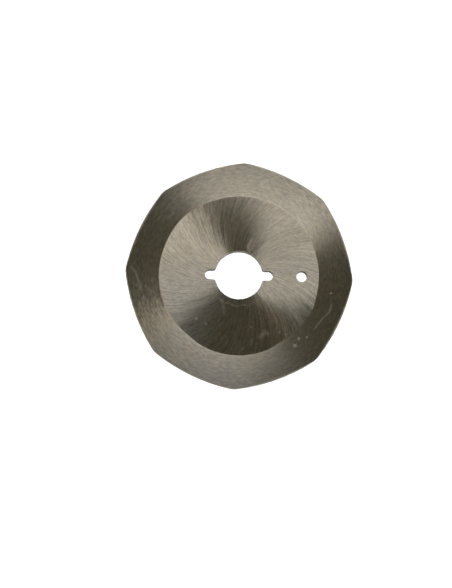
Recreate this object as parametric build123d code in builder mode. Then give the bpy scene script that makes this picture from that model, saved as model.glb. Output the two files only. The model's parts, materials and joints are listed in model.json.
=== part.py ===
from build123d import *
import os
from math import asin, cos, degrees, radians, sin, sqrt

# Eight-lobed round blade of a hand-held cloth cutter, in millimetres
# It is one disc of hardened tool steel, stamped to its lobed outline and ground on its front. A wide bevel with
# a slight crown thins it towards the rim, and a narrow honed slope along the lobes brings it to a knife edge.
# The back is flat all over, because it runs against a fixed lower blade.
# The origin is the middle of the bore on the flat back. +Z points out of the ground front, and the two
# keyways lie along X, with the small pin hole on the +X side.

# Outline
tip_diameter = 90.0  # across two opposite lobe tips
lobe_count = 8
side_radius = 73.0  # the long shallow curve between two tips
tip_radius = 8.0  # the rounding of each tip
lobe_turn = -1.5  # degrees from +X to the nearest tip

# Section
thickness = 1.2
face_diameter = 63.0  # the circle where the flat front turns into the wide bevel
rim_thickness = 0.12  # what the wide bevel alone leaves at a tip
crown_radius = 135.0  # the bevel's slight outward curve, from the face to the rim
honing_angle = 28.0  # degrees between the honed slope and the back

# Bore and keyways
bore_diameter = 19.0
keyway_depth = 4.0  # from the bore's wall to a keyway's round end
keyway_width = 3.8
keyway_corner_radius = 1.0  # where a keyway's side runs into the bore

# Pin hole
pin_hole_diameter = 4.2
pin_hole_distance = 24.8  # from the middle of the bore

# Broken edges and the room that a cutting shape takes past the disc
edge_break = 0.1  # the small slope round the bore, the keyways and the pin hole
edge_break_angle = 90.0  # degrees, the included angle of the pin hole's broken edges
clearance = 0.5

# A side curve touches the two tip curves beside it, which gives its middle and its length
half_pitch = 180.0 / lobe_count
tip_middle = tip_diameter / 2 - tip_radius
tip_middle_across = tip_middle * cos(radians(half_pitch))
tip_middle_aside = tip_middle * sin(radians(half_pitch))
middles_apart = side_radius - tip_radius
side_middle = tip_middle_across - sqrt(middles_apart**2 - tip_middle_aside**2)
side_half_angle = degrees(asin(tip_middle_aside / middles_apart))

# The wide bevel falls from the flat front to the rim, and everything outside it is ground away
rim_distance = tip_diameter / 2
face_radius = face_diameter / 2
ground_away_height = thickness + clearance
ground_away_distance = rim_distance + clearance


def at_angle(distance, angle):
    """The point that far from the origin, at that angle in degrees from +X."""
    return (distance * cos(radians(angle)), distance * sin(radians(angle)))


with BuildPart() as blade:
    # Lobed disc, whose rim leans inward from the flat back at the honing angle
    with BuildSketch() as outline:
        with BuildLine():
            for lobe in range(lobe_count):
                tip_angle = lobe_turn + 2 * half_pitch * lobe
                side_angle = tip_angle + half_pitch
                CenterArc(
                    center=at_angle(tip_middle, tip_angle),
                    radius=tip_radius,
                    start_angle=tip_angle - half_pitch + side_half_angle,
                    arc_size=2 * (half_pitch - side_half_angle),
                )
                CenterArc(
                    center=at_angle(side_middle, side_angle),
                    radius=side_radius,
                    start_angle=side_angle - side_half_angle,
                    arc_size=2 * side_half_angle,
                )
        make_face()
    extrude(amount=thickness, taper=90.0 - honing_angle)

    # Wide crowned bevel, which leaves only the lowest strip of the leaning rim
    with BuildSketch(Plane.XZ) as ground_away:
        with BuildLine():
            RadiusArc((face_radius, thickness), (rim_distance, rim_thickness), crown_radius)
            Polyline(
                (rim_distance, rim_thickness),
                (ground_away_distance, rim_thickness),
                (ground_away_distance, ground_away_height),
                (face_radius, ground_away_height),
                (face_radius, thickness),
            )
        make_face()
    revolve(axis=Axis.Z, mode=Mode.SUBTRACT)

    # Bore with its two round-ended keyways
    with BuildSketch() as bore:
        Circle(bore_diameter / 2)
        SlotOverall(bore_diameter + 2 * keyway_depth, keyway_width)
        corners = bore.vertices().group_by(SortBy.DISTANCE)[0]
        fillet(corners, keyway_corner_radius)
    extrude(amount=thickness, mode=Mode.SUBTRACT)
    chamfer(blade.edges(Select.LAST).filter_by(Plane.XY), edge_break)

    # Pin hole, its edges broken on the front and on the back
    hole_on_front = Location((pin_hole_distance, 0, thickness))
    hole_on_back = Location((pin_hole_distance, 0, 0), (180, 0, 0))
    with Locations(hole_on_front, hole_on_back):
        CounterSinkHole(
            pin_hole_diameter / 2,
            pin_hole_diameter / 2 + edge_break,
            counter_sink_angle=edge_break_angle,
        )

blade.part.label = "blade"
os.makedirs("parts", exist_ok=True)
export_step(blade.part, "parts/blade.step")
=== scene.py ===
"""Round cutting blade with eight lobes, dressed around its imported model.

The blade is one stamped disc of hardened tool steel, so it is one piece here too. Its surfaces differ
in how they were ground: the front has near-radial lines, the wide bevel and the honed edge have lines
along the rim. Most of its light and dark comes from how those lines turn the lamps' reflections.
"""

import json
from itertools import count
from math import asin, atan2, cos, exp, hypot, pi, radians, sin, sqrt, tan

import bmesh
import bpy
from mathutils import Matrix, Vector


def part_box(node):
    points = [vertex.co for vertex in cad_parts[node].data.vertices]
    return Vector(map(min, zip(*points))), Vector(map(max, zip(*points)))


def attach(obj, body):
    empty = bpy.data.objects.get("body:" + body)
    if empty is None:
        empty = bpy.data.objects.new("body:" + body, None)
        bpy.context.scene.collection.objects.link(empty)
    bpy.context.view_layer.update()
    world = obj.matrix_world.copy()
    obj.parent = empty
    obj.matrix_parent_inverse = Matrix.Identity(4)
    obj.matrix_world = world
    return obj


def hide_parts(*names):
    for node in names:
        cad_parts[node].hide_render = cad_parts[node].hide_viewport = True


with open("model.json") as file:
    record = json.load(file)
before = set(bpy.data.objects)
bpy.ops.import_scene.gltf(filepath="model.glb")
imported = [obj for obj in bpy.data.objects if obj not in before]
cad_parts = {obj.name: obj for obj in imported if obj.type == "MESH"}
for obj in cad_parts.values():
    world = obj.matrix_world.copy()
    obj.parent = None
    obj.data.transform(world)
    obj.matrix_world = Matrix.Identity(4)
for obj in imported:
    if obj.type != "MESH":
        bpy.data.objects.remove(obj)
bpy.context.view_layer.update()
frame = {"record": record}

bl_info = {
    "name": "Round Cutting Blade",
    "version": (1, 0, 0),
    "blender": (4, 5, 0),
    "location": "3D View > Sidebar > Blade",
    "description": "Models the ground steel blade of a cloth cutter and its studio",
    "category": "Add Mesh",
}

MM = 0.001
NODE = "blade"

# The map that the highlight's direction is read from. By its name, the export may bake onto it too.
POLAR_MAP = "OFBake"

MOUNTS = {mount["name"]: mount for mount in frame["record"]["mounts"]}
BORE, PIN_HOLE = MOUNTS["bore"], MOUNTS["pin_hole"]
BLADE_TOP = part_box(NODE)[1].z


def length(name, description, default):
    """A size in metres that the sidebar shows as a length."""
    return bpy.props.FloatProperty(
        name=name, description=description, default=default, precision=5, unit="LENGTH"
    )


def turn(name, description, default):
    """An angle, given in degrees and held in radians."""
    return bpy.props.FloatProperty(
        name=name, description=description, default=radians(default), unit="ROTATION", subtype="ANGLE"
    )


def number(name, description, default):
    """A plain number."""
    return bpy.props.FloatProperty(name=name, description=description, default=default, min=0, max=4)


def linear(hex_colour):
    """An sRGB colour written as RRGGBB, as the linear values that shaders take."""
    channels = [int(hex_colour[start : start + 2], 16) / 255 for start in (0, 2, 4)]
    return [
        channel / 12.92 if channel <= 0.04045 else ((channel + 0.055) / 1.055) ** 2.4
        for channel in channels
    ]


def colour(name, description, hex_colour):
    """A colour that the sidebar shows, written as sRGB."""
    return bpy.props.FloatVectorProperty(
        name=name, description=description, default=linear(hex_colour), subtype="COLOR", min=0, max=1
    )


class BladeSizes(bpy.types.PropertyGroup):
    """The blade's own sizes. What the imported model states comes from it."""

    tip_diameter: length("Across tips", "Across two opposite lobe tips", 90 * MM)
    lobes: bpy.props.IntProperty(
        name="Lobes", description="Rounded tips round the rim", default=8, min=3
    )
    side_radius: length("Side radius", "Radius of the long shallow curve between two tips", 73 * MM)
    tip_radius: length("Tip radius", "Radius of each rounded tip", 8 * MM)
    lobe_turn: turn("Lobe turn", "Angle from +X to the nearest tip", -1.5)
    thickness: length("Thickness", "From the flat back to the flat front", BLADE_TOP)
    face_diameter: length("Face", "Across the flat front inside the bevel", 63 * MM)
    crown_radius: length("Crown", "Radius of the bevel's crown, from the face to the rim", 135 * MM)
    rim_thickness: length("Rim", "What the bevel alone leaves at a tip", 0.12 * MM)
    honing_angle: turn("Honing angle", "Between the honed slope and the back", 28)
    bore_radius: length("Bore radius", "Radius of the bore", BORE["dims"]["r_mm"] * MM)
    keyway_depth: length("Keyway depth", "From the bore's wall to a keyway's end", 4 * MM)
    keyway_width: length("Keyway width", "Across each keyway", 3.8 * MM)
    keyway_corner: length("Keyway corner", "Radius where a keyway meets the bore", 1 * MM)
    pin_hole_radius: length("Pin hole radius", "Radius of the pin hole", PIN_HOLE["dims"]["r_mm"] * MM)
    pin_hole_distance: length("Pin hole distance", "From the bore's middle", PIN_HOLE["pos_m"][0])
    edge_break: length("Edge break", "Small slope round the bore and the holes", 0.1 * MM)


class SteelFinish(bpy.types.PropertyGroup):
    """How the steel was ground, and its colour."""

    steel: colour("Steel", "Bare ground tool steel", "D4CAB8")
    # The walls' dark colour is partly torn steel and partly painted shade for the holes' shadowed walls
    walls: colour("Walls", "Steel as the punch tore it, inside the bore and the pin hole", "2E2A24")
    lean_near: turn("Lean near the middle", "Lean of the front's lines from radial there", 3.06)
    lean_rise: turn("Lean rise", "How much more they lean for each 10 mm outward", 7.46)
    relief: length("Relief", "Depth of the grinding lines, drawn coarse enough to show", 0.008 * MM)
    contrast: number("Contrast", "How much single grinding lines differ in brightness", 1.0)
    tinge: number("Tinge", "How much they differ in colour, from cool to warm", 0.10)
    film_reach: length("Collar film", "Radius of the dull film that a collar left", 12.2 * MM)
    film_side: turn("Film side", "The side of the bore on which the film lies, from +X", 262)


class StudioLook(bpy.types.PropertyGroup):
    """Floor, lamps and surroundings."""

    floor: colour("Floor", "Plain pale floor", "F4F4F4")
    room: colour("Room", "Dim warm room above the low white walls", "444232")
    cool_room: colour("Cool room", "Its two opposite sides that daylight reaches", "43474A")
    lamp: colour("Lamp", "The softbox", "FFFFFF")
    daylight: colour("Daylight", "The weak strip of light from the other side", "C8DAFF")
    warm_light: colour("Warm light", "The narrow light from the left", "FFD9A0")
    floor_glow: number("Floor glow", "What the floor adds to be white to the camera", 0.05)
    floor_light: number("Floor light", "How white the floor's own lamp alone makes the floor", 0.95)


# Steps round the rim and rings across each surface of the blade's mesh
RIM_STEPS = 720
FACE_RINGS = 12
BEVEL_RINGS = 6
BACK_RINGS = 14

# Steps of the arcs in the holes: a quarter of the bore, half a keyway's end, one of its corners, and
# the whole pin hole
BORE_STEPS = 30
KEYWAY_STEPS = 12
CORNER_STEPS = 8
PIN_HOLE_STEPS = 72

# The blank's spindle hole, and how far the tools that cut the holes reach past the faces
SPINDLE_RADIUS = 6 * MM
CUTTER_REACH = 0.05 * MM

# Heights that differ by less than the first are one level, and the second joins points that touch
NEAR = 0.001 * MM
TOUCHING = 0.0001 * MM

# Rounds in which the honed slope's upper end settles on the bevel
SETTLING_ROUNDS = 8

# The crease strays inward by less than this, and faces that turn by more than this meet at a real edge
CREASE_ROOM = 1 * MM
SHARP_TURN = radians(20)

# The blade's surfaces, in the order of its material slots
FRONT, BEVEL, HONED, WALLS, BACK = range(5)


def outline_radius(sizes, angle):
    """How far the knife edge lies from the middle, at an angle from +X."""
    pitch = 2 * pi / sizes.lobes
    tip_middle = sizes.tip_diameter / 2 - sizes.tip_radius
    aside = tip_middle * sin(pitch / 2)
    middles_apart = sizes.side_radius - sizes.tip_radius
    side_middle = tip_middle * cos(pitch / 2) - sqrt(middles_apart**2 - aside**2)
    tip_half_angle = pitch / 2 - asin(aside / middles_apart)
    tip_reach = atan2(
        sizes.tip_radius * sin(tip_half_angle), tip_middle + sizes.tip_radius * cos(tip_half_angle)
    )
    from_tip = abs((angle - sizes.lobe_turn + pitch / 2) % pitch - pitch / 2)
    if from_tip < tip_reach:
        middle, radius, off = tip_middle, sizes.tip_radius, from_tip
    else:
        middle, radius, off = side_middle, sizes.side_radius, pitch / 2 - from_tip
    return middle * cos(off) + sqrt(radius**2 - (middle * sin(off)) ** 2)


def bevel_height(sizes, distance):
    """Height of the crowned bevel at a distance from the middle, on an arc from the face to the rim."""
    face, rim = sizes.face_diameter / 2, sizes.tip_diameter / 2
    run, fall = rim - face, sizes.thickness - sizes.rim_thickness
    chord = hypot(run, fall)
    below = sqrt(sizes.crown_radius**2 - chord**2 / 4)
    middle = (face + rim) / 2 - below * fall / chord
    middle_height = sizes.thickness - fall / 2 - below * run / chord
    return middle_height + sqrt(sizes.crown_radius**2 - (distance - middle) ** 2)


def honed_ring(sizes, edge):
    """How far from the middle the honed slope, which starts at the knife edge, meets the bevel."""
    slope = tan(sizes.honing_angle)
    distance = edge
    for _ in range(SETTLING_ROUNDS):
        distance = edge - bevel_height(sizes, distance) / slope
    return distance


# How far the crease between face and bevel strays outward from its circle, as the grinding left it, at
# angles in degrees and by millimetres
CREASE_STRAYS = (
    (0, 0.0),
    (40, 0.0),
    (62, -0.2),
    (110, -0.2),
    (134, 0.36),
    (160, 0.1),
    (191, 0.16),
    (214, -0.1),
    (231, -0.5),
    (250, 0.0),
    (272, 0.12),
    (288, 0.0),
    (306, -0.6),
    (320, 0.0),
    (334, 0.4),
    (350, 0.05),
    (360, 0.0),
)


def face_edge(sizes, angle):
    """Where the flat front ends at an angle, eased from each stray of the crease to the next."""
    degrees = angle * 180 / pi % 360
    for (start, stray), (end, other) in zip(CREASE_STRAYS, CREASE_STRAYS[1:]):
        if start <= degrees <= end:
            ease = (1 - cos(pi * (degrees - start) / (end - start))) / 2
            return sizes.face_diameter / 2 + (stray + (other - stray) * ease) * MM
    raise ValueError("The crease's strays leave a gap in the circle.")


def ringed(inner, outer, rings):
    """Radii from inner to outer, each a fixed share larger than the last."""
    return [inner * (outer / inner) ** (ring / rings) for ring in range(rings + 1)]


def spun_blank(sizes):
    """A round disc with a spindle hole, spun from its half section."""
    face, rim = sizes.face_diameter / 2, sizes.tip_diameter / 2
    front = [(radius, sizes.thickness) for radius in ringed(SPINDLE_RADIUS, face, FACE_RINGS)]
    shares = [ring / BEVEL_RINGS for ring in range(1, BEVEL_RINGS + 1)]
    bevel = [(face + (rim - face) * share, sizes.rim_thickness) for share in shares]
    back = [(radius, 0) for radius in reversed(ringed(SPINDLE_RADIUS, rim, BACK_RINGS))]
    shape = bmesh.new()
    section = [shape.verts.new((radius, 0, height)) for radius, height in front + bevel + back]
    edges = [shape.edges.new(pair) for pair in zip(section, section[1:] + section[:1])]
    bmesh.ops.spin(
        shape,
        geom=section + edges,
        axis=(0, 0, 1),
        cent=(0, 0, 0),
        angle=2 * pi,
        steps=RIM_STEPS,
        use_merge=True,
    )
    return shape


def shape_rim(shape, sizes):
    """Turns the round blank into the lobed, bevelled and honed disc, ring by ring."""
    face, rim = sizes.face_diameter / 2, sizes.tip_diameter / 2
    for vert in shape.verts:
        angle = atan2(vert.co.y, vert.co.x)
        distance = hypot(vert.co.x, vert.co.y)
        edge = outline_radius(sizes, angle)
        start = face_edge(sizes, angle)
        height = vert.co.z
        if height < NEAR:
            place = distance * edge / rim
        elif height > sizes.thickness - NEAR:
            place = distance * start / face
        else:
            share = (distance - face) / (rim - face)
            place = start + (honed_ring(sizes, edge) - start) * share
            height = bevel_height(sizes, place + (face - start) * (1 - share))
        vert.co = (place * cos(angle), place * sin(angle), height)
    bmesh.ops.recalc_face_normals(shape, faces=shape.faces)


def arc(shape, vert, middle, angle, steps):
    """Draws an arc on from a point, round a middle on the same level, and returns its last point."""
    centre = (middle[0], middle[1], vert.co.z)
    made = bmesh.ops.spin(shape, geom=[vert], axis=(0, 0, 1), cent=centre, angle=angle, steps=steps)
    return next(item for item in made["geom_last"] if isinstance(item, bmesh.types.BMVert))


def loop_at(shape, height):
    """The edges that lie at a height."""
    return [edge for edge in shape.edges if all(abs(vert.co.z - height) < NEAR for vert in edge.verts)]


def keyed_bore(shape, sizes, grow, height):
    """Closed loop of the bore and its two keyways, grown outward by that much, at a height."""
    bore = sizes.bore_radius + grow
    half_width = sizes.keyway_width / 2 + grow
    corner = sizes.keyway_corner - grow
    end_middle = sizes.bore_radius + sizes.keyway_depth - sizes.keyway_width / 2
    corner_y = half_width + corner
    corner_x = sqrt((bore + corner) ** 2 - corner_y**2)
    end = shape.verts.new((end_middle + half_width, 0, height))
    side = arc(shape, end, (end_middle, 0), pi / 2, KEYWAY_STEPS)
    made = bmesh.ops.extrude_vert_indiv(shape, verts=[side])
    made["verts"][0].co = (corner_x, half_width, height)
    wall = arc(shape, made["verts"][0], (corner_x, corner_y), -atan2(corner_x, corner_y), CORNER_STEPS)
    arc(shape, wall, (0, 0), pi / 2 - atan2(corner_y, corner_x), BORE_STEPS)
    for axis in "XY":
        drawn = loop_at(shape, height)
        verts = list({vert for edge in drawn for vert in edge.verts})
        bmesh.ops.mirror(
            shape, geom=verts + drawn, matrix=Matrix.Identity(4), merge_dist=NEAR, axis=axis
        )


def round_hole(shape, sizes, grow, height):
    """Closed loop of the pin hole, grown outward by that much, at a height."""
    place = Matrix.Translation((sizes.pin_hole_distance, 0, height))
    radius = sizes.pin_hole_radius + grow
    bmesh.ops.create_circle(shape, cap_ends=False, radius=radius, segments=PIN_HOLE_STEPS, matrix=place)


def plug(sizes, draw_loop):
    """The solid that cuts a hole through the disc. Both its ends flare by the edge break."""
    flare = sizes.edge_break + CUTTER_REACH
    levels = [
        (-CUTTER_REACH, flare),
        (sizes.edge_break, 0),
        (sizes.thickness - sizes.edge_break, 0),
        (sizes.thickness + CUTTER_REACH, flare),
    ]
    shape = bmesh.new()
    for height, grow in levels:
        draw_loop(shape, sizes, grow, height)
    loops = [loop_at(shape, height) for height, _ in levels]
    for lower, upper in zip(loops, loops[1:]):
        bmesh.ops.bridge_loops(shape, edges=lower + upper)
    for end in (loops[0], loops[-1]):
        bmesh.ops.edgeloop_fill(shape, edges=end)
    bmesh.ops.recalc_face_normals(shape, faces=shape.faces)
    return shape


def new_object(name, shape):
    """An object in the scene from a finished bmesh."""
    mesh = bpy.data.meshes.new(name)
    shape.to_mesh(mesh)
    shape.free()
    made = bpy.data.objects.new(name, mesh)
    bpy.context.scene.collection.objects.link(made)
    return made


def cut_out(piece, cutters):
    """Takes each cutter's solid out of the piece, for good."""
    for cutter in cutters:
        cut = piece.modifiers.new(cutter.name, "BOOLEAN")
        cut.operation, cut.solver, cut.object = "DIFFERENCE", "EXACT", cutter
    seen = piece.evaluated_get(bpy.context.evaluated_depsgraph_get())
    before, piece.data = piece.data, bpy.data.meshes.new_from_object(seen)
    piece.data.name = piece.name
    piece.modifiers.clear()
    bpy.data.meshes.remove(before)
    for cutter in cutters:
        bpy.data.meshes.remove(cutter.data)


def surface_of(face, sizes):
    """Which of the blade's surfaces a face belongs to."""
    middle = face.calc_center_median()
    heights = [vert.co.z for vert in face.verts]
    distance = hypot(middle.x, middle.y)
    leans = max(heights) > NEAR and min(heights) < sizes.thickness - NEAR
    if leans and distance > sizes.face_diameter / 2 - CREASE_ROOM:
        return HONED if min(heights) < NEAR else BEVEL
    if min(heights) > sizes.thickness - sizes.edge_break - NEAR:
        return FRONT
    return BACK if max(heights) < sizes.edge_break + NEAR else WALLS


# Bands of the polar map: where the inner or lower side of a surface lies, how far the band runs from
# there, and the real distances or heights that it spans
MAP_BANDS = {
    FRONT: (0.30, -0.29, 0, 32 * MM),
    BEVEL: (0.52, -0.20, 30 * MM, 45 * MM),
    HONED: (0.58, -0.04, 0, 0.5 * MM),
    BACK: (0.60, 0.30, 0, 45 * MM),
    WALLS: (0.94, -0.02, 0, 1.2 * MM),
}
PIN_HOLE_BAND = (0.98, -0.02, 0, 1.2 * MM)


def lay_polar_map(shape, sizes):
    """Gives the blade a map whose U runs once round the axis, and whose V runs across each surface."""
    layer = shape.loops.layers.uv.new(POLAR_MAP)
    hole = Vector((sizes.pin_hole_distance, 0, 0))
    reach = sizes.pin_hole_radius + 2 * sizes.edge_break
    for face in shape.faces:
        surface = face.material_index
        middle = face.calc_center_median()
        in_pin_hole = surface == WALLS and (middle.xy - hole.xy).length < reach
        origin = hole if in_pin_hole else Vector((0, 0, 0))
        start, share, low, high = PIN_HOLE_BAND if in_pin_hole else MAP_BANDS[surface]
        around = atan2(middle.y - origin.y, middle.x - origin.x) / (2 * pi) % 1
        for corner in face.loops:
            spot = corner.vert.co - origin
            across = atan2(spot.y, spot.x) / (2 * pi) % 1
            across += round(around - across)
            measure = spot.z if surface in (HONED, WALLS) else hypot(spot.x, spot.y)
            corner[layer].uv = (across, start + share * (measure - low) / (high - low))


def finish_faces(piece, sizes):
    """Sorts the faces by surface, shades them, marks the real edges and lays the map."""
    shape = bmesh.new()
    shape.from_mesh(piece.data)
    bmesh.ops.remove_doubles(shape, verts=shape.verts, dist=TOUCHING)
    for face in shape.faces:
        face.material_index = surface_of(face, sizes)
        face.smooth = face.material_index not in (FRONT, BACK)
    for edge in shape.edges:
        kinds = {face.material_index for face in edge.link_faces}
        edge.smooth = len(kinds) == 1 and edge.calc_face_angle(0) < SHARP_TURN
    lay_polar_map(shape, sizes)
    shape.to_mesh(piece.data)
    shape.free()


# Materials

# The real grinding lines are some hundredths of a millimetre apart, and the photograph has 0.4 mm to a
# pixel. So the lines are drawn as coarse as the streaks that show in it. Each pattern is a grain's size
# round the axis and outward in millimetres, then its detail and its roughness. The sizes round the axis
# are true at these distances from it.
FACE_MIDDLE, BEVEL_MIDDLE = 20 * MM, 38 * MM
FACE_LINES = {
    "broad": (2.2, 20.0, 2.0, 0.55),
    "band": (1.25, 29.0, 1.0, 0.55),
    "fine": (0.6, 15.0, 3.0, 0.8),
    "hair": (0.13, 20.0, 1.0, 0.55),
    "grain": (0.53, 1.8, 2.0, 0.75),
    "tinge": (0.9, 3.8, 3.0, 0.75),
    "patch": (3.3, 5.5, 1.0, 0.55),
}
BEVEL_LINES = {
    "one way": (2.5, 0.67, 2.0, 0.7),
    "other way": (2.0, 0.53, 2.0, 0.7),
    "tinge": (4.2, 2.4, 3.0, 0.75),
    "patch": (5.4, 9.0, 1.0, 0.55),
}

# The slow drift that makes the bevel's two sets of lines cross, and the waves of the film's edge. The
# waves run round the axis alone, so outward they are as good as endless.
DRIFT = (6.3, 6.2, 1.0, 0.55)
FILM_WAVES = (2.9, 1000.0, 3.0, 0.55)

# Where the patterns of each surface start in the noise, and the step from one pattern to the next
FRONT_SEED, BEVEL_SEED, BACK_SEED, FILM_SEED = 0, 0, 100, 5
SEED_STEP = 20

# The value that the noise lies evenly about, and the base of the logarithm that a spiral line needs
NOISE_MIDDLE = 0.5
NATURAL_BASE = exp(1)

# How far a pattern swings the lines out of their direction, in degrees, and how much it lightens and
# tints them. A full tint changes the steel's red, green and blue by these shares.
FACE_SWING = {"broad": 16, "band": 12, "fine": 28}
FACE_SHADE = {"broad": 0.12, "fine": 1.0, "hair": 0.7, "grain": 1.0}
FACE_TINT = {"tinge": 1.0, "patch": 0.5}
BEVEL_SWING = {"one way": 11.2, "other way": 11.2}
BEVEL_SHADE = {"one way": 0.72, "other way": 0.72, "patch": 0.05}
BEVEL_TINT = {"tinge": 1.0, "patch": 0.6}
TINT_WAY = (1, 0, -1.4)

# How rough each finish is, the front from its noise's lows to its highs
FACE_ROUGHNESS = {"From Min": 0.3, "From Max": 0.7, "To Min": 0.311, "To Max": 0.351}
BEVEL_ROUGHNESS = 0.345
HONED_ROUGHNESS = 0.36
WALLS_ROUGHNESS = 0.5

# How far the lines stretch the highlight, and the part of a full turn that lays the lines along the rim
GROUND_STRETCH, HONED_STRETCH, WALLS_STRETCH = 1.0, 0.95, 0.0
ALONG_RIM = 0.25

# How much the short grain adds to the front's relief, and how deep the finer wheel cut the bevel's
# lines, as a share of the front's
GRAIN_RELIEF = 0.35
FINER_WHEEL = 0.5

# How much darker the front is than the steel's plain colour. How much darker the bevel gets from the
# crease to near the rim, and how much lighter the crease itself is, each between two distances. The
# lighter crease is a painted highlight: the lamp's glint on a rounded crease, painted in all round.
FACE_DARKER = -0.073
BEVEL_FADE = {"From Min": 31.5 * MM, "From Max": 44 * MM, "To Min": -0.017, "To Max": -0.267}
CREASE_PAINTED_HIGHLIGHT = {"From Min": 31.4 * MM, "From Max": 32.2 * MM, "To Min": 0.14, "To Max": 0}

# How far the bevel's two sets of lines drift to cross each other, and how far they lean off the rim
CROSSING = 3 * MM
BEVEL_LEAN = radians(3.45)

# What the collar's film, its dried edge and a small mark change where they lie, and how a mark turns
# the lines
FILM = {"bare": -0.12, "shade": -0.13, "tint": -0.03}
FILM_EDGE = {"bare": -0.45, "shade": 0.2}
MARK = {"bare": -0.8, "shade": 0.35, "rough": 0.15}
MARK_SWING = radians(15)

# The film's edge wavers by this much in all, and is this soft and this wide. The film thins out from
# the side that it lies on, between these cosines.
FILM_WAVER, FILM_SOFTNESS, FILM_EDGE_WIDTH = 3 * MM, 0.5 * MM, 0.3 * MM
FILM_SPREAD = {"From Min": 0.5, "From Max": 0.85}

# Small marks on the front face and on the bevel, in millimetres from the middle. A speck is a place and
# its radius. A scratch is the points along it, how far it shades off to each side, and its strength.
FACE_SPECKS = (
    (5.1, -20.3, 0.22),
    (2.1, -28.9, 0.22),
    (8.0, -14.8, 0.16),
    (-16.4, -17.6, 0.45),
    (-12.6, -19.5, 0.35),
    (16.4, -22.1, 0.22),
    (18.9, -22.9, 0.22),
)
BEVEL_SPECKS = (
    (36.4, -6.2, 0.34),
    (24.1, -24.5, 0.46),
    (22.6, -27.2, 0.60),
    (27.2, -23.8, 0.30),
    (41.0, -3.4, 0.24),
    (-34.2, -12.6, 0.24),
)
FACE_SCRATCHES = (
    (((9.0, -24.5), (10.3, -22.1), (11.8, -22.8)), 1.3, 0.35),
    (((5.7, -25.2), (5.2, -27.4)), 0.6, 0.4),
    (((14.4, 7.7), (16.1, 12.9), (17.2, 18.1)), 0.45, 0.22),
    (((13.2, 11.2), (20.2, 14.0), (27.3, 16.0)), 0.45, 0.2),
    (((3.9, 9.9), (3.4, 11.6), (4.6, 14.2)), 1.0, 1.0),
    (((5.0, 10.4), (5.6, 13.2), (7.2, 15.6)), 0.7, 0.9),
    (((-6.6, -10.0), (-5.4, -15.2)), 1.0, 0.28),
)
BEVEL_SCRATCHES = (
    (((36.8, -10.7), (35.8, -14.0), (33.7, -15.8), (31.9, -18.1), (30.4, -20.1)), 0.5, 0.55),
    (((-25.8, 25.9), (-27.1, 23.8)), 0.4, 0.8),
    (((-27.4, 23.2), (-28.2, 21.8)), 0.4, 0.8),
    (((-42.8, 2.1), (-41.2, 0.9), (-39.7, -3.2), (-38.6, -6.6)), 0.8, 0.5),
)

# A speck is full inside the first of these shares of its radius, and fades out at the second
SPECK_CORE, SPECK_REACH = 0.6, 1.6


def add(tree, kind, inputs=None, **settings):
    """Adds a node with its settings. An input gets a value, or a link from a socket or a node."""
    node = tree.nodes.new("ShaderNode" + kind)
    for name, value in settings.items():
        setattr(node, name, value)
    for key, value in (inputs or {}).items():
        if isinstance(value, bpy.types.Node):
            value = value.outputs[0]
        if isinstance(value, bpy.types.NodeSocket):
            tree.links.new(value, node.inputs[key])
        else:
            node.inputs[key].default_value = value
    return node


def new_material(name):
    """An empty material, as the material, its node tree and its output node."""
    material = bpy.data.materials.new(name)
    material.use_nodes = True
    material.node_tree.nodes.clear()
    return material, material.node_tree, add(material.node_tree, "OutputMaterial")


def polar_place(tree):
    """The shaded point seen along the axis, the unit vector towards it, and how far out it lies."""
    place = add(tree, "TexCoord").outputs["Object"]
    flat = add(tree, "VectorMath", {0: place, 1: (1, 1, 0)}, operation="MULTIPLY")
    outward = add(tree, "VectorMath", {0: flat}, operation="NORMALIZE")
    return flat, outward, add(tree, "VectorMath", {0: flat}, operation="LENGTH").outputs["Value"]


def laid_on(tree, value, layers):
    """A value with masks or noises laid on it, each by its own weight."""
    for mask, weight in layers:
        value = add(tree, "Math", {0: mask, 1: weight, 2: value}, operation="MULTIPLY_ADD")
    return value


def blend(tree, noises, weights, factor):
    """Noises added up about zero, each by its own weight times the factor."""
    layers = [(noises[name], weight * factor) for name, weight in weights.items()]
    return laid_on(tree, -NOISE_MIDDLE * sum(weight for _, weight in layers), layers)


def grains(tree, direction, distance, middle, pattern, seed):
    """Noise of long grains along a direction. Their size round the axis is true at the middle."""
    around, outward, detail, roughness = pattern
    deep = add(tree, "Math", {0: distance, 1: 1 / (outward * MM), 2: seed}, operation="MULTIPLY_ADD")
    wide = middle / (around * MM)
    spot = {0: direction, 1: (wide, wide, 0), 2: add(tree, "CombineXYZ", {"Z": deep})}
    spot = add(tree, "VectorMath", spot, operation="MULTIPLY_ADD")
    look = {"Vector": spot, "Scale": 1.0, "Detail": detail, "Roughness": roughness}
    return add(tree, "TexNoise", look)


def turned_grain(tree, angle):
    """The direction round the axis, turned in the surface by an angle, which steers the highlight."""
    tangent = add(tree, "Tangent", direction_type="UV_MAP", uv_map=POLAR_MAP)
    normal = add(tree, "NewGeometry").outputs["Normal"]
    return add(tree, "VectorRotate", {"Vector": tangent, "Axis": normal, "Angle": angle})


def steel_hue(tree, finish, shade, tint):
    """The steel's colour, lighter where the shade is above zero and warmer where the tint is."""
    tint = add(tree, "VectorMath", {0: tint, 1: TINT_WAY, 2: (1, 1, 1)}, operation="MULTIPLY_ADD")
    shade = add(tree, "Math", {0: shade, 1: 1.0}, operation="ADD")
    hue = add(tree, "VectorMath", {0: tint, 1: (*finish.steel,)}, operation="MULTIPLY")
    return add(tree, "VectorMath", {0: hue, "Scale": shade}, operation="SCALE")


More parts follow.
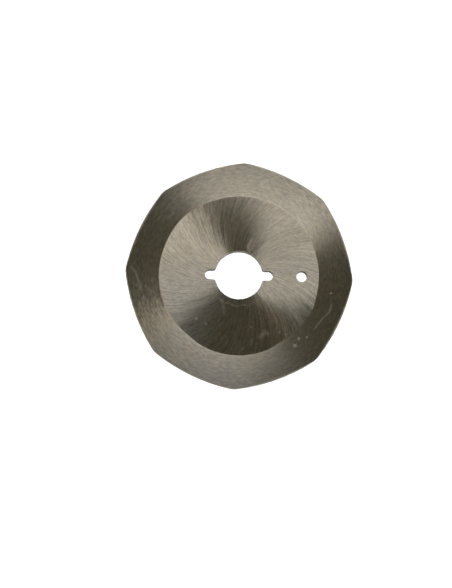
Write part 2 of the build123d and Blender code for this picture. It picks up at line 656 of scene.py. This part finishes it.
def marks(tree, place, specks, scratches):
    """Mask of the small marks: soft spots and soft lines, 1 where a mark is strongest."""
    mask = 0.0
    for x, y, radius in specks:
        off = add(tree, "VectorMath", {0: place, 1: (x * MM, y * MM, 0)}, operation="DISTANCE")
        reach, core = (part * radius * MM for part in (SPECK_REACH, SPECK_CORE))
        spot = {"Value": off.outputs["Value"], "From Min": reach, "From Max": core}
        mask = add(tree, "Math", {0: add(tree, "MapRange", spot), 1: mask}, operation="MAXIMUM")
    for points, width, strength in scratches:
        for pair in zip(points, points[1:]):
            start, end = (Vector((*point, 0)) * MM for point in pair)
            along = end - start
            scale = along / along.length_squared
            off = add(tree, "VectorMath", {0: place, 1: start}, operation="SUBTRACT")
            passed = add(tree, "VectorMath", {0: off, 1: scale}, operation="DOT_PRODUCT")
            passed = passed.outputs["Value"]
            passed = add(tree, "Math", {0: passed, 1: 1}, operation="MULTIPLY", use_clamp=True)
            run = add(tree, "VectorMath", {0: along, "Scale": passed}, operation="SCALE")
            off = add(tree, "VectorMath", {0: off, 1: run}, operation="DISTANCE")
            fading = {"From Min": width * MM, "From Max": 0, "To Max": strength}
            line = add(tree, "MapRange", {"Value": off.outputs["Value"], **fading})
            mask = add(tree, "Math", {0: line, 1: mask}, operation="MAXIMUM")
    return mask


def collar_film(tree, outward, distance, finish):
    """Masks of the dull film that a collar left on one side of the bore, and of its wavy dried edge."""
    wave = grains(tree, outward, distance, FACE_MIDDLE, FILM_WAVES, FILM_SEED)
    nearest = finish.film_reach - FILM_WAVER / 2
    edge = add(tree, "Math", {0: wave, 1: FILM_WAVER, 2: nearest}, operation="MULTIPLY_ADD")
    past = add(tree, "Math", {0: distance, 1: edge}, operation="SUBTRACT")
    side = (cos(finish.film_side), sin(finish.film_side), 0)
    towards = add(tree, "VectorMath", {0: outward, 1: side}, operation="DOT_PRODUCT").outputs["Value"]
    here = add(tree, "MapRange", {"Value": towards, **FILM_SPREAD})
    fading = {"From Min": FILM_SOFTNESS, "From Max": -FILM_SOFTNESS, "To Max": here}
    film = add(tree, "MapRange", {"Value": past, **fading})
    past = add(tree, "Math", {0: past}, operation="ABSOLUTE")
    fading = {"From Min": FILM_EDGE_WIDTH, "From Max": 0, "To Max": here}
    return film, add(tree, "MapRange", {"Value": past, **fading})


def ground_steel(tree, finish, values, masks, rotation, swing, relief, depth):
    """Shader of ground steel. Each mask comes with what it changes in the values."""
    for mask, changes in masks:
        for kind, weight in changes.items():
            values[kind] = laid_on(tree, values[kind], ((mask, weight),))
    return add(
        tree,
        "BsdfPrincipled",
        {
            "Base Color": steel_hue(tree, finish, values["shade"], values["tint"]),
            "Metallic": values["bare"],
            "Roughness": values["rough"],
            "Anisotropic": GROUND_STRETCH,
            "Anisotropic Rotation": rotation / (2 * pi),
            "Tangent": turned_grain(tree, swing),
            "Normal": add(tree, "Bump", {"Height": relief, "Strength": 1.0, "Distance": depth}),
        },
    )


# Hardened tool steel, surface ground under a cup wheel. Its lines run outward and lean more and more.
# They give the eye a silky warm grey that fans from bright to nearly black as they turn round.
def ground_face(name, finish, seed, specks=(), scratches=()):
    """Material of the disc's front or back."""
    material, tree, output = new_material(name)
    place, outward, distance = polar_place(tree)
    near, rise = finish.lean_near, finish.lean_rise / (10 * MM)
    lean = add(tree, "Math", {0: distance, 1: rise, 2: near}, operation="MULTIPLY_ADD")
    grown = add(tree, "Math", {0: distance, 1: NATURAL_BASE}, operation="LOGARITHM")
    swept = add(tree, "Math", {0: distance, 1: rise}, operation="MULTIPLY")
    swept = add(tree, "Math", {0: grown, 1: near, 2: swept}, operation="MULTIPLY_ADD")
    line = add(tree, "VectorRotate", {"Vector": outward, "Angle": swept}, rotation_type="Z_AXIS")
    noises = {
        kind: grains(tree, line, distance, FACE_MIDDLE, pattern, seed + step)
        for step, (kind, pattern) in zip(count(0, SEED_STEP), FACE_LINES.items())
    }

    film, film_edge = collar_film(tree, outward, distance, finish)
    dirt = marks(tree, place, specks, scratches)
    mean = near + rise * FACE_MIDDLE
    swing = add(tree, "Math", {0: mean, 1: lean}, operation="SUBTRACT")
    stray = blend(tree, noises, FACE_SWING, radians(1))
    swing = laid_on(tree, swing, ((stray, 1.0), (dirt, MARK_SWING)))
    shade = blend(tree, noises, FACE_SHADE, finish.contrast)
    values = {
        "shade": add(tree, "Math", {0: shade, 1: FACE_DARKER}),
        "tint": blend(tree, noises, FACE_TINT, finish.tinge),
        "bare": 1.0,
        "rough": add(tree, "MapRange", {"Value": noises["fine"], **FACE_ROUGHNESS}),
    }
    masks = ((film, FILM), (film_edge, FILM_EDGE), (dirt, MARK))
    relief = laid_on(tree, noises["fine"], ((noises["grain"], GRAIN_RELIEF),))
    shader = ground_steel(tree, finish, values, masks, pi - mean, swing, relief, finish.relief)
    tree.links.new(shader.outputs[0], output.inputs["Surface"])
    return material


# The same steel, its bevel ground along the rim by a finer wheel. The short crossing lines give the eye
# a smoother sheen than the front's, bright where the bevel faces a lamp, with a fine criss-cross.
def ground_bevel(name, finish, seed, specks, scratches):
    """Material of the wide bevel."""
    material, tree, output = new_material(name)
    place, outward, distance = polar_place(tree)
    drift = grains(tree, outward, distance, BEVEL_MIDDLE, DRIFT, seed)
    drift = add(tree, "Math", {0: drift, 1: NOISE_MIDDLE}, operation="SUBTRACT")
    there = laid_on(tree, distance, ((drift, CROSSING),))
    ways = {"other way": laid_on(tree, distance, ((drift, -CROSSING),))}
    noises = {
        kind: grains(tree, outward, ways.get(kind, there), BEVEL_MIDDLE, pattern, seed + step)
        for step, (kind, pattern) in zip(count(SEED_STEP, SEED_STEP), BEVEL_LINES.items())
    }

    dirt = marks(tree, place, specks, scratches)
    shade = blend(tree, noises, BEVEL_SHADE, finish.contrast)
    # The crease's lighter band is a painted highlight, laid into the bevel's colour all round
    for change in (BEVEL_FADE, CREASE_PAINTED_HIGHLIGHT):
        shade = add(tree, "Math", {0: shade, 1: add(tree, "MapRange", {"Value": distance, **change})})
    values = {
        "shade": shade,
        "tint": blend(tree, noises, BEVEL_TINT, finish.tinge),
        "bare": 1.0,
        "rough": BEVEL_ROUGHNESS,
    }
    swing = blend(tree, noises, BEVEL_SWING, radians(1))
    relief = add(tree, "Math", {0: noises["one way"], 1: noises["other way"]})
    masks = ((dirt, MARK),)
    rotation = 2 * pi * ALONG_RIM + BEVEL_LEAN
    depth = finish.relief * FINER_WHEEL
    shader = ground_steel(tree, finish, values, masks, rotation, swing, relief, depth)
    tree.links.new(shader.outputs[0], output.inputs["Surface"])
    return material


# Tool steel with no pattern that shows at this size. Honed along the rim, it gives the eye a thin
# bright line round the blade. Torn by the punch, it is dull inside the holes, and its wall colour is
# darkened further as painted shade for the walls that lie in shadow there.
def plain_steel(name, tint, roughness, stretch):
    """Material of the honed edge or of the holes' walls."""
    material, tree, output = new_material(name)
    shader = add(
        tree,
        "BsdfPrincipled",
        {
            "Base Color": (*tint, 1),
            "Metallic": 1.0,
            "Roughness": roughness,
            "Anisotropic": stretch,
            "Anisotropic Rotation": ALONG_RIM,
            "Tangent": add(tree, "Tangent", direction_type="UV_MAP", uv_map=POLAR_MAP),
        },
    )
    tree.links.new(shader.outputs[0], output.inputs["Surface"])
    return material


class BLADE_OT_model(bpy.types.Operator):
    """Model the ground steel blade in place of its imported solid"""

    bl_idname = "blade.model"
    bl_label = "Model Blade"

    def execute(self, context):
        """Builds the blade, gives it its surfaces and hands it to the frame."""
        sizes, finish = context.scene.blade_sizes, context.scene.blade_finish
        blank = spun_blank(sizes)
        shape_rim(blank, sizes)
        piece = new_object("ground_blade", blank)
        cutters = [
            new_object("bore_cutter", plug(sizes, keyed_bore)),
            new_object("pin_hole_cutter", plug(sizes, round_hole)),
        ]
        cut_out(piece, cutters)
        finish_faces(piece, sizes)
        for material in (
            ground_face("Ground steel front", finish, FRONT_SEED, FACE_SPECKS, FACE_SCRATCHES),
            ground_bevel("Ground steel bevel", finish, BEVEL_SEED, BEVEL_SPECKS, BEVEL_SCRATCHES),
            plain_steel("Honed steel edge", finish.steel, HONED_ROUGHNESS, HONED_STRETCH),
            # The walls' colour carries painted shade as well as the torn steel's own dullness
            plain_steel("Punched steel walls", finish.walls, WALLS_ROUGHNESS, WALLS_STRETCH),
            ground_face("Ground steel back", finish, BACK_SEED),
        ):
            piece.data.materials.append(material)
        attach(piece, "root")
        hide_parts(NODE)
        return {"FINISHED"}


# Stage

# The floor lies a hair under the blade, so that the two never share a surface, and is this wide to
# each side
FLOOR_GAP = 0.02 * MM
FLOOR_REACH = 3.0

# The camera looks nearly straight down. Its turn is in degrees, and its lens in millimetres.
CAMERA_PLACE = Vector((-4.14, -27.25, 316.65)) * MM
CAMERA_TURN = [radians(angle) for angle in (3.567, 0.057, 1.444)]
CAMERA_LENS = 49.1

# It sees what lies between these distances, in metres
CAMERA_NEAREST, CAMERA_FURTHEST = 0.01, 10

# The softbox, the weaker strip of light from the other side, and a narrow warm light. Angles are in
# degrees and sizes in metres. Radiance is how bright a lamp looks, where 1 is white.
SOFTBOX = {
    "azimuth": 69.4,
    "elevation": 69.1,
    "distance": 1.18,
    "width": 0.65,
    "height": 0.209,
    "roll": 17.5,
    "radiance": 4.01,
}
STRIP = {
    "azimuth": 266.1,
    "elevation": 60.1,
    "distance": 1.2,
    "width": 1.2,
    "height": 0.148,
    "roll": -58.7,
    "radiance": 0.91,
}
WARM = {
    "azimuth": 202,
    "elevation": 58,
    "distance": 1.2,
    "width": 0.065,
    "height": 0.6,
    "roll": 0,
    "radiance": 0.5,
}

# How wide the floor's own lamp is, as the floor sees it
FLOOR_LAMP_WIDTH = radians(3)

# Heights at which the white of the floor and the low walls gives way to the dim room, as sines. The
# room's cooler sides lie along a line through the blade, and thin out between these cosines from it.
WHITE_BELOW, ROOM_ABOVE = 0.22, 0.30
COOL_AZIMUTH = radians(118)
COOL_SPREAD = {"From Min": 0.96, "From Max": 0.995}

# The colour sockets of a Mix node share their names with others, so they go by number
MIX_FACTOR, MIX_FIRST, MIX_SECOND, MIXED = 0, 6, 7, 2


def facing(azimuth, elevation):
    """The turn that makes a lamp shine on the blade from a direction, in degrees."""
    round_axis = Matrix.Rotation(radians(azimuth + 90), 4, "Z")
    return round_axis @ Matrix.Rotation(radians(90 - elevation), 4, "X")


def place_lamp(name, azimuth, elevation, distance, width, height, roll, radiance, tint):
    """An area lamp that looks at the blade's middle."""
    light = bpy.data.lights.new(name, "AREA")
    light.shape = "RECTANGLE"
    light.size, light.size_y = width, height
    light.energy = radiance * pi * width * height
    light.color = tint
    lamp = bpy.data.objects.new(name, light)
    back = Matrix.Translation((0, 0, distance)) @ Matrix.Rotation(radians(roll), 4, "Z")
    lamp.matrix_world = facing(azimuth, elevation) @ back
    bpy.context.scene.collection.objects.link(lamp)


def light_floor(floor, look):
    """A distant lamp on the softbox's side that lights only the floor, with the blade's shadow."""
    light = bpy.data.lights.new("floor_lamp", "SUN")
    light.angle = FLOOR_LAMP_WIDTH
    light.energy = look.floor_light * pi / (look.floor[1] * sin(radians(SOFTBOX["elevation"])))
    lamp = bpy.data.objects.new("floor_lamp", light)
    lamp.matrix_world = facing(SOFTBOX["azimuth"], SOFTBOX["elevation"])
    reached = bpy.data.collections.new("floor_only")
    reached.objects.link(floor)
    lamp.light_linking.receiver_collection = reached
    bpy.context.scene.collection.objects.link(lamp)


# Matt white paper. It gives the eye a plain white all round, with the blade's soft shadow on it.
def pale_floor(look):
    """Material of the floor, which glows a little to the camera and in reflections."""
    material, tree, output = new_material("Matt white paper")
    path = add(tree, "LightPath").outputs
    seen = add(tree, "Math", {0: path["Is Camera Ray"], 1: path["Is Glossy Ray"]}, operation="MAXIMUM")
    seen = add(tree, "Math", {0: seen, 1: path["Is Transmission Ray"]}, operation="MAXIMUM")
    glow = add(tree, "Math", {0: seen, 1: look.floor_glow}, operation="MULTIPLY")
    paper = add(tree, "BsdfDiffuse", {"Color": (*look.floor, 1)})
    glow = add(tree, "Emission", {"Color": (1, 1, 1, 1), "Strength": glow})
    both = add(tree, "AddShader", {0: paper, 1: glow})
    tree.links.new(both.outputs[0], output.inputs["Surface"])
    return material


def studio_world(look):
    """A dim room above, cooler on two sides, and the white of the floor and the low walls below it."""
    world = bpy.data.worlds.new("Studio")
    world.use_nodes = True
    tree = world.node_tree
    tree.nodes.clear()
    direction = add(tree, "TexCoord").outputs["Generated"]
    flat = add(tree, "VectorMath", {0: direction, 1: (1, 1, 0)}, operation="MULTIPLY")
    flat = add(tree, "VectorMath", {0: flat}, operation="NORMALIZE")
    cool_way = (cos(COOL_AZIMUTH), sin(COOL_AZIMUTH), 0)
    along = add(tree, "VectorMath", {0: flat, 1: cool_way}, operation="DOT_PRODUCT").outputs["Value"]
    along = add(tree, "Math", {0: along}, operation="ABSOLUTE")
    cool = add(tree, "MapRange", {"Value": along, **COOL_SPREAD})
    rooms = {MIX_FACTOR: cool, MIX_FIRST: (*look.room, 1), MIX_SECOND: (*look.cool_room, 1)}
    room = add(tree, "Mix", rooms, data_type="RGBA").outputs[MIXED]
    height = add(tree, "SeparateXYZ", {0: direction}).outputs["Z"]
    white = add(tree, "MapRange", {"Value": height, "From Min": ROOM_ABOVE, "From Max": WHITE_BELOW})
    seen = add(tree, "LightPath").outputs["Is Camera Ray"]
    white = add(tree, "Math", {0: white, 1: seen}, operation="MAXIMUM")
    shades = {MIX_FACTOR: white, MIX_FIRST: room, MIX_SECOND: (1, 1, 1, 1)}
    shade = add(tree, "Mix", shades, data_type="RGBA").outputs[MIXED]
    add(tree, "OutputWorld", {"Surface": add(tree, "Background", {"Color": shade})})
    return world


class BLADE_OT_stage(bpy.types.Operator):
    """Set up the floor, the lamps, the surroundings and the camera"""

    bl_idname = "blade.stage"
    bl_label = "Set Up Studio"

    def execute(self, context):
        """Builds the studio round the blade."""
        look, scene = context.scene.blade_studio, context.scene
        shape = bmesh.new()
        level = Matrix.Translation((0, 0, -FLOOR_GAP))
        bmesh.ops.create_grid(shape, x_segments=1, y_segments=1, size=FLOOR_REACH, matrix=level)
        floor = new_object("floor", shape)
        floor.data.materials.append(pale_floor(look))
        light_floor(floor, look)
        scene.world = studio_world(look)
        place_lamp("softbox", **SOFTBOX, tint=look.lamp)
        place_lamp("strip_light", **STRIP, tint=look.daylight)
        place_lamp("warm_light", **WARM, tint=look.warm_light)

        camera = bpy.data.cameras.new("camera")
        camera.lens = CAMERA_LENS
        camera.clip_start, camera.clip_end = CAMERA_NEAREST, CAMERA_FURTHEST
        viewer = bpy.data.objects.new("camera", camera)
        viewer.location = CAMERA_PLACE
        viewer.rotation_euler = CAMERA_TURN
        scene.collection.objects.link(viewer)
        scene.camera = viewer
        scene.view_settings.view_transform = "Standard"
        return {"FINISHED"}


class BLADE_PT_sidebar(bpy.types.Panel):
    """Sizes, finish and studio of the blade"""

    bl_label = "Round Cutting Blade"
    bl_idname = "BLADE_PT_sidebar"
    bl_space_type = "VIEW_3D"
    bl_region_type = "UI"
    bl_category = "Blade"

    def draw(self, context):
        """Lists the three groups of settings and the two operators."""
        scene = context.scene
        for group in (scene.blade_sizes, scene.blade_finish, scene.blade_studio):
            box = self.layout.box()
            for name in group.__annotations__:
                box.prop(group, name)
        self.layout.operator(BLADE_OT_model.bl_idname)
        self.layout.operator(BLADE_OT_stage.bl_idname)


CLASSES = (BladeSizes, SteelFinish, StudioLook, BLADE_OT_model, BLADE_OT_stage, BLADE_PT_sidebar)


def register():
    """Makes the settings, the operators and the panel known to Blender."""
    for kind in CLASSES:
        bpy.utils.register_class(kind)
    bpy.types.Scene.blade_sizes = bpy.props.PointerProperty(type=BladeSizes)
    bpy.types.Scene.blade_finish = bpy.props.PointerProperty(type=SteelFinish)
    bpy.types.Scene.blade_studio = bpy.props.PointerProperty(type=StudioLook)


def unregister():
    """Takes them back."""
    del bpy.types.Scene.blade_studio
    del bpy.types.Scene.blade_finish
    del bpy.types.Scene.blade_sizes
    for kind in reversed(CLASSES):
        bpy.utils.unregister_class(kind)


def main():
    """Registers everything, and builds the blade and its studio."""
    register()
    bpy.ops.blade.model()
    bpy.ops.blade.stage()


if __name__ == "__main__":
    main()
